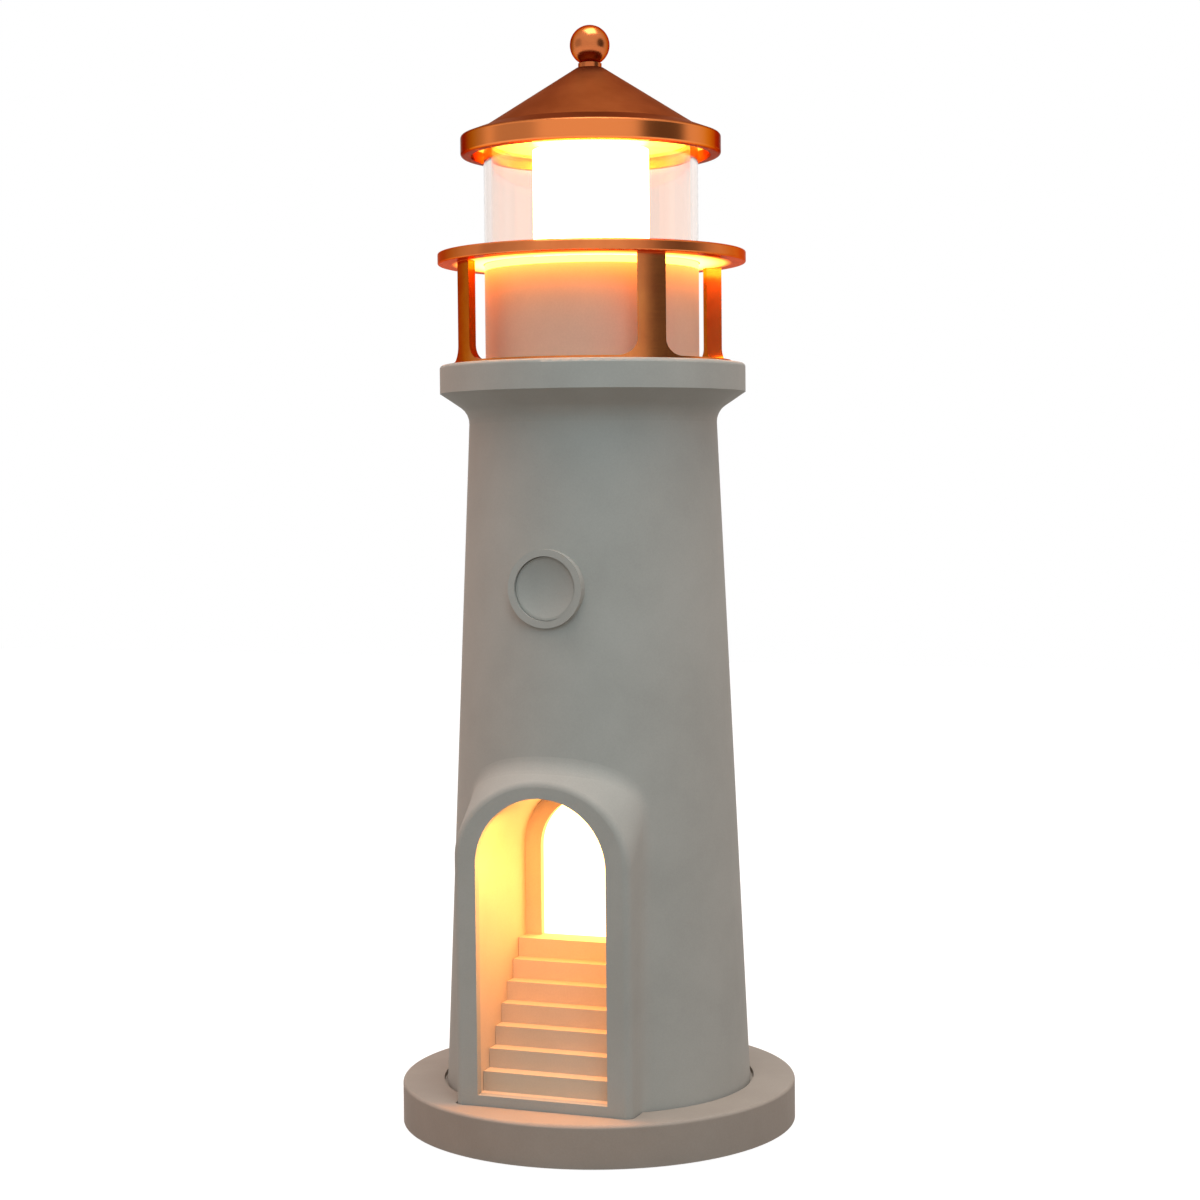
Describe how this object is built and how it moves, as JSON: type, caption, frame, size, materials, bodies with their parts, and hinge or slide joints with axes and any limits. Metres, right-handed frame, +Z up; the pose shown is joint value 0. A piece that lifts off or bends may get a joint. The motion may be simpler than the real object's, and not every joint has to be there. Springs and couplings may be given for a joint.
{
  "type": "lighthouse table lamp",
  "caption": "Lighthouse-shaped lamp with a glass lantern, copper roof and gallery, a lit stair niche and a round push button.",
  "frame": {"origin": "centre of the underside, on the surface it stands on", "axes": "+Z up through the finial; the stair niche and the button face -Y, the charging port +Y"},
  "size_m": [0.105, 0.105, 0.2901],
  "materials": {
    "body_resin": "fine matte mineral-filled resin",
    "copper_trim": "satin copper-coloured anodised aluminium",
    "lantern_glass": "clear polished tube",
    "lamp_opal": "opal diffuser, lit",
    "door_opal": "opal diffuser, lit",
    "ring_opal": "opal light guide, lit",
    "light_frame": "white moulded",
    "pad_rubber": "matte non-slip foam rubber",
    "cover_plastic": "moulded, fine grain",
    "steel_screw": "zinc plated",
    "ballast_steel": "plain stamped",
    "circuit_board": "solder-masked laminate",
    "led_chip": "phosphor",
    "black_plastic": "moulded",
    "battery_wrap": "shrink sleeve",
    "socket_steel": "drawn shell",
    "port_silicone": "moulded silicone",
    "cable_sleeve": "PVC sleeve",
    "post_aluminium": "plain tube"
  },
  "bodies": {
    "lamp_body": {"base_disc": "body_resin", "base_cover": "cover_plastic", "base_pad": "pad_rubber", "cover_screws": "steel_screw", "tower_screws": "steel_screw", "ballast_plate": "ballast_steel", "tower_shell": "body_resin", "niche_liner": "body_resin", "stair_block": "body_resin", "door_panel": "door_opal", "door_light_box": "light_frame", "door_light_board": "circuit_board", "door_light_chips": "led_chip", "button_switch": "black_plastic", "button_board": "circuit_board", "button_housing": "light_frame", "lantern_drum": "body_resin", "drum_screws": "steel_screw", "gallery_cage": "copper_trim", "gallery_plate": "copper_trim", "light_ring": "ring_opal", "lantern_glass": "lantern_glass", "lamp_diffuser": "lamp_opal", "lamp_board": "circuit_board", "lamp_post": "post_aluminium", "lamp_strips": "led_chip", "battery": "battery_wrap", "battery_holder": "black_plastic", "control_board": "circuit_board", "charge_socket": "socket_steel", "lamp_cable": "cable_sleeve", "cable_grommet": "pad_rubber"},
    "roof": {"roof_cap": "copper_trim", "roof_liner": "copper_trim", "finial_ferrule": "copper_trim", "finial_ball": "copper_trim", "finial_stud": "steel_screw"},
    "button": {"button_cap": "body_resin", "switch_plunger": "black_plastic"},
    "port_cover": {"port_flap": "port_silicone"}
  },
  "joints": [
    {"name": "roof_lift", "type": "slide", "parent": "lamp_body", "child": "roof", "axis": [0, 0, 1], "range_m": [0, 0.035]},
    {"name": "button_press", "type": "slide", "parent": "lamp_body", "child": "button", "axis": [0, 1, 0], "range_m": [0, 0.001], "stiffness_N_per_m": 900},
    {"name": "port_flap_swing", "type": "hinge", "parent": "lamp_body", "child": "port_cover", "pos_m": [-0.0068, 0.05215, 0.00603], "axis": [0, 0, 1], "range_deg": [0, 110]}
  ]
}
